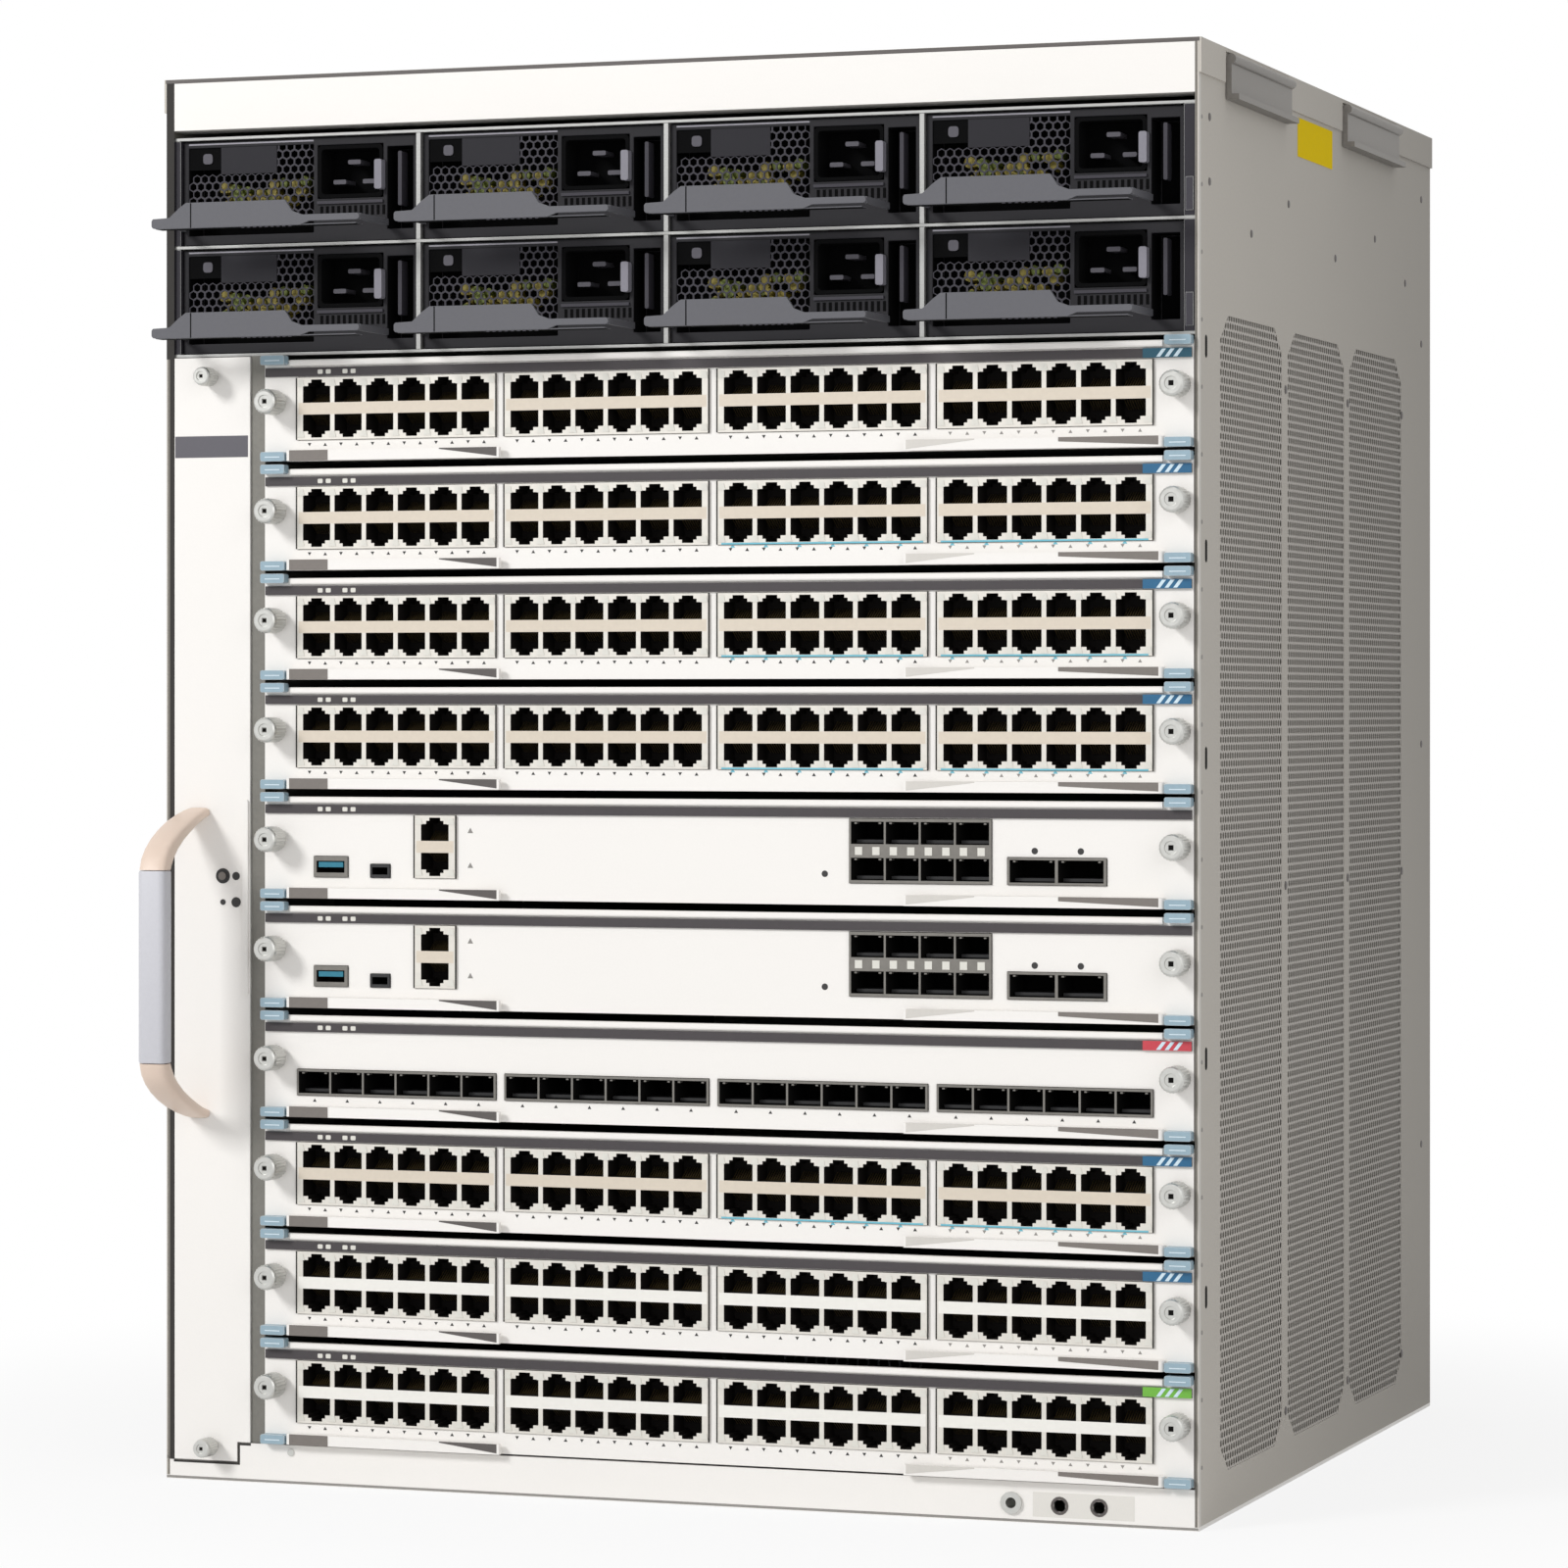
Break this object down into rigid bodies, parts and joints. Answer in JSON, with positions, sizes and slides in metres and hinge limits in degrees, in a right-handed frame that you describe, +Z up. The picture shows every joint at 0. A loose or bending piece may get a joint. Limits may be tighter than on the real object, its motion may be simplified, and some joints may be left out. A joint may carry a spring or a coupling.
{
  "type": "modular chassis switch",
  "caption": "Rack-mount network chassis with flat plug-in cards, an upright fan tray beside them, two rows of power supplies above and folding lift handles.",
  "frame": {"origin": "middle of the housing's footprint, on the floor", "axes": "+X to the right seen from the front, +Y to the back, +Z up"},
  "size_m": [0.449, 0.443, 0.5743],
  "materials": {
    "case_paint": "satin paint",
    "white_paint": "satin paint",
    "zinc_sheet": "zinc plated",
    "dark_sheet": "matt paint",
    "socket_steel": "nickel plated",
    "board": "matt",
    "handle_paint": "satin paint",
    "fan_plastic": "matt",
    "beige_plastic": "satin",
    "grip_plastic": "satin",
    "screw_steel": "nickel plated",
    "supply_paint": "satin paint",
    "card_paint": "satin paint",
    "lever_plastic": "satin"
  },
  "bodies": {
    "chassis": {"right_side_wall": "case_paint", "left_side_wall": "case_paint", "top_cover": "case_paint", "bottom_pan": "case_paint", "wrist_strap_socket": "socket_steel", "rear_panel": "case_paint", "header_bezel": "white_paint", "power_bay_frame": "zinc_sheet", "left_card_rails": "dark_sheet", "right_card_rails": "dark_sheet", "backplane": "board"},
    "fan_tray": {"fan_tray_frame": "white_paint", "fan_bank": "fan_plastic", "fan_rotors": "fan_plastic", "fan_controller": "zinc_sheet", "fan_tray_handle_ends": "beige_plastic", "fan_tray_grip": "grip_plastic", "fan_tray_thumbscrews": "screw_steel"},
    "lift_handle_right_front": {"lift_handle_right_front": "handle_paint"},
    "lift_handle_right_rear": {"lift_handle_right_rear": "handle_paint"},
    "lift_handle_left_front": {"lift_handle_left_front": "handle_paint"},
    "lift_handle_left_rear": {"lift_handle_left_rear": "handle_paint"},
    "power_supply_1": {"power_supply_1": "supply_paint"},
    "power_supply_2": {"power_supply_2": "supply_paint"},
    "power_supply_3": {"power_supply_3": "supply_paint"},
    "power_supply_4": {"power_supply_4": "supply_paint"},
    "power_supply_5": {"power_supply_5": "supply_paint"},
    "power_supply_6": {"power_supply_6": "supply_paint"},
    "power_supply_7": {"power_supply_7": "supply_paint"},
    "power_supply_8": {"power_supply_8": "supply_paint"},
    "line_card_1": {"line_card_1": "card_paint"},
    "ejector_1_left": {"ejector_1_left": "lever_plastic"},
    "ejector_1_right": {"ejector_1_right": "lever_plastic"},
    "line_card_2": {"line_card_2": "card_paint"},
    "ejector_2_left": {"ejector_2_left": "lever_plastic"},
    "ejector_2_right": {"ejector_2_right": "lever_plastic"},
    "line_card_3": {"line_card_3": "card_paint"},
    "ejector_3_left": {"ejector_3_left": "lever_plastic"},
    "ejector_3_right": {"ejector_3_right": "lever_plastic"},
    "line_card_4": {"line_card_4": "card_paint"},
    "ejector_4_left": {"ejector_4_left": "lever_plastic"},
    "ejector_4_right": {"ejector_4_right": "lever_plastic"},
    "supervisor_5": {"supervisor_5": "card_paint"},
    "ejector_5_left": {"ejector_5_left": "lever_plastic"},
    "ejector_5_right": {"ejector_5_right": "lever_plastic"},
    "supervisor_6": {"supervisor_6": "card_paint"},
    "ejector_6_left": {"ejector_6_left": "lever_plastic"},
    "ejector_6_right": {"ejector_6_right": "lever_plastic"},
    "line_card_7": {"line_card_7": "card_paint"},
    "ejector_7_left": {"ejector_7_left": "lever_plastic"},
    "ejector_7_right": {"ejector_7_right": "lever_plastic"},
    "line_card_8": {"line_card_8": "card_paint"},
    "ejector_8_left": {"ejector_8_left": "lever_plastic"},
    "ejector_8_right": {"ejector_8_right": "lever_plastic"},
    "line_card_9": {"line_card_9": "card_paint"},
    "ejector_9_left": {"ejector_9_left": "lever_plastic"},
    "ejector_9_right": {"ejector_9_right": "lever_plastic"},
    "line_card_10": {"line_card_10": "card_paint"},
    "ejector_10_left": {"ejector_10_left": "lever_plastic"},
    "ejector_10_right": {"ejector_10_right": "lever_plastic"}
  },
  "joints": [
    {"name": "fan_tray_slide", "type": "slide", "parent": "chassis", "child": "fan_tray", "axis": [0, -1, 0], "range_m": [0, 0.37]},
    {"name": "lift_handle_right_front_hinge", "type": "hinge", "parent": "chassis", "child": "lift_handle_right_front", "pos_m": [0.2213, -0.112, 0.5703], "axis": [0, -1, 0], "range_deg": [0, 90]},
    {"name": "lift_handle_right_rear_hinge", "type": "hinge", "parent": "chassis", "child": "lift_handle_right_rear", "pos_m": [0.2213, 0.08, 0.5703], "axis": [0, -1, 0], "range_deg": [0, 90]},
    {"name": "lift_handle_left_front_hinge", "type": "hinge", "parent": "chassis", "child": "lift_handle_left_front", "pos_m": [-0.2213, -0.112, 0.5703], "axis": [0, 1, 0], "range_deg": [0, 90]},
    {"name": "lift_handle_left_rear_hinge", "type": "hinge", "parent": "chassis", "child": "lift_handle_left_rear", "pos_m": [-0.2213, 0.08, 0.5703], "axis": [0, 1, 0], "range_deg": [0, 90]},
    {"name": "power_supply_1_slide", "type": "slide", "parent": "chassis", "child": "power_supply_1", "axis": [0, -1, 0], "range_m": [0, 0.33]},
    {"name": "power_supply_2_slide", "type": "slide", "parent": "chassis", "child": "power_supply_2", "axis": [0, -1, 0], "range_m": [0, 0.33]},
    {"name": "power_supply_3_slide", "type": "slide", "parent": "chassis", "child": "power_supply_3", "axis": [0, -1, 0], "range_m": [0, 0.33]},
    {"name": "power_supply_4_slide", "type": "slide", "parent": "chassis", "child": "power_supply_4", "axis": [0, -1, 0], "range_m": [0, 0.33]},
    {"name": "power_supply_5_slide", "type": "slide", "parent": "chassis", "child": "power_supply_5", "axis": [0, -1, 0], "range_m": [0, 0.33]},
    {"name": "power_supply_6_slide", "type": "slide", "parent": "chassis", "child": "power_supply_6", "axis": [0, -1, 0], "range_m": [0, 0.33]},
    {"name": "power_supply_7_slide", "type": "slide", "parent": "chassis", "child": "power_supply_7", "axis": [0, -1, 0], "range_m": [0, 0.33]},
    {"name": "power_supply_8_slide", "type": "slide", "parent": "chassis", "child": "power_supply_8", "axis": [0, -1, 0], "range_m": [0, 0.33]},
    {"name": "line_card_1_slide", "type": "slide", "parent": "chassis", "child": "line_card_1", "axis": [0, -1, 0], "range_m": [0, 0.36]},
    {"name": "ejector_1_left_hinge", "type": "hinge", "parent": "line_card_1", "child": "ejector_1_left", "pos_m": [-0.1617, -0.2024, 0.41895], "axis": [0, 0, -1], "range_deg": [0, 60]},
    {"name": "ejector_1_right_hinge", "type": "hinge", "parent": "line_card_1", "child": "ejector_1_right", "pos_m": [0.2041, -0.2024, 0.41895], "axis": [0, 0, 1], "range_deg": [0, 60]},
    {"name": "line_card_2_slide", "type": "slide", "parent": "chassis", "child": "line_card_2", "axis": [0, -1, 0], "range_m": [0, 0.36]},
    {"name": "ejector_2_left_hinge", "type": "hinge", "parent": "line_card_2", "child": "ejector_2_left", "pos_m": [-0.1617, -0.2024, 0.3745], "axis": [0, 0, -1], "range_deg": [0, 60]},
    {"name": "ejector_2_right_hinge", "type": "hinge", "parent": "line_card_2", "child": "ejector_2_right", "pos_m": [0.2041, -0.2024, 0.3745], "axis": [0, 0, 1], "range_deg": [0, 60]},
    {"name": "line_card_3_slide", "type": "slide", "parent": "chassis", "child": "line_card_3", "axis": [0, -1, 0], "range_m": [0, 0.36]},
    {"name": "ejector_3_left_hinge", "type": "hinge", "parent": "line_card_3", "child": "ejector_3_left", "pos_m": [-0.1617, -0.2024, 0.33005], "axis": [0, 0, -1], "range_deg": [0, 60]},
    {"name": "ejector_3_right_hinge", "type": "hinge", "parent": "line_card_3", "child": "ejector_3_right", "pos_m": [0.2041, -0.2024, 0.33005], "axis": [0, 0, 1], "range_deg": [0, 60]},
    {"name": "line_card_4_slide", "type": "slide", "parent": "chassis", "child": "line_card_4", "axis": [0, -1, 0], "range_m": [0, 0.36]},
    {"name": "ejector_4_left_hinge", "type": "hinge", "parent": "line_card_4", "child": "ejector_4_left", "pos_m": [-0.1617, -0.2024, 0.2856], "axis": [0, 0, -1], "range_deg": [0, 60]},
    {"name": "ejector_4_right_hinge", "type": "hinge", "parent": "line_card_4", "child": "ejector_4_right", "pos_m": [0.2041, -0.2024, 0.2856], "axis": [0, 0, 1], "range_deg": [0, 60]},
    {"name": "supervisor_5_slide", "type": "slide", "parent": "chassis", "child": "supervisor_5", "axis": [0, -1, 0], "range_m": [0, 0.36]},
    {"name": "ejector_5_left_hinge", "type": "hinge", "parent": "supervisor_5", "child": "ejector_5_left", "pos_m": [-0.1617, -0.2024, 0.24115], "axis": [0, 0, -1], "range_deg": [0, 60]},
    {"name": "ejector_5_right_hinge", "type": "hinge", "parent": "supervisor_5", "child": "ejector_5_right", "pos_m": [0.2041, -0.2024, 0.24115], "axis": [0, 0, 1], "range_deg": [0, 60]},
    {"name": "supervisor_6_slide", "type": "slide", "parent": "chassis", "child": "supervisor_6", "axis": [0, -1, 0], "range_m": [0, 0.36]},
    {"name": "ejector_6_left_hinge", "type": "hinge", "parent": "supervisor_6", "child": "ejector_6_left", "pos_m": [-0.1617, -0.2024, 0.1967], "axis": [0, 0, -1], "range_deg": [0, 60]},
    {"name": "ejector_6_right_hinge", "type": "hinge", "parent": "supervisor_6", "child": "ejector_6_right", "pos_m": [0.2041, -0.2024, 0.1967], "axis": [0, 0, 1], "range_deg": [0, 60]},
    {"name": "line_card_7_slide", "type": "slide", "parent": "chassis", "child": "line_card_7", "axis": [0, -1, 0], "range_m": [0, 0.36]},
    {"name": "ejector_7_left_hinge", "type": "hinge", "parent": "line_card_7", "child": "ejector_7_left", "pos_m": [-0.1617, -0.2024, 0.15225], "axis": [0, 0, -1], "range_deg": [0, 60]},
    {"name": "ejector_7_right_hinge", "type": "hinge", "parent": "line_card_7", "child": "ejector_7_right", "pos_m": [0.2041, -0.2024, 0.15225], "axis": [0, 0, 1], "range_deg": [0, 60]},
    {"name": "line_card_8_slide", "type": "slide", "parent": "chassis", "child": "line_card_8", "axis": [0, -1, 0], "range_m": [0, 0.36]},
    {"name": "ejector_8_left_hinge", "type": "hinge", "parent": "line_card_8", "child": "ejector_8_left", "pos_m": [-0.1617, -0.2024, 0.1078], "axis": [0, 0, -1], "range_deg": [0, 60]},
    {"name": "ejector_8_right_hinge", "type": "hinge", "parent": "line_card_8", "child": "ejector_8_right", "pos_m": [0.2041, -0.2024, 0.1078], "axis": [0, 0, 1], "range_deg": [0, 60]},
    {"name": "line_card_9_slide", "type": "slide", "parent": "chassis", "child": "line_card_9", "axis": [0, -1, 0], "range_m": [0, 0.36]},
    {"name": "ejector_9_left_hinge", "type": "hinge", "parent": "line_card_9", "child": "ejector_9_left", "pos_m": [-0.1617, -0.2024, 0.06335], "axis": [0, 0, -1], "range_deg": [0, 60]},
    {"name": "ejector_9_right_hinge", "type": "hinge", "parent": "line_card_9", "child": "ejector_9_right", "pos_m": [0.2041, -0.2024, 0.06335], "axis": [0, 0, 1], "range_deg": [0, 60]},
    {"name": "line_card_10_slide", "type": "slide", "parent": "chassis", "child": "line_card_10", "axis": [0, -1, 0], "range_m": [0, 0.36]},
    {"name": "ejector_10_left_hinge", "type": "hinge", "parent": "line_card_10", "child": "ejector_10_left", "pos_m": [-0.1617, -0.2024, 0.0189], "axis": [0, 0, -1], "range_deg": [0, 60]},
    {"name": "ejector_10_right_hinge", "type": "hinge", "parent": "line_card_10", "child": "ejector_10_right", "pos_m": [0.2041, -0.2024, 0.0189], "axis": [0, 0, 1], "range_deg": [0, 60]}
  ]
}
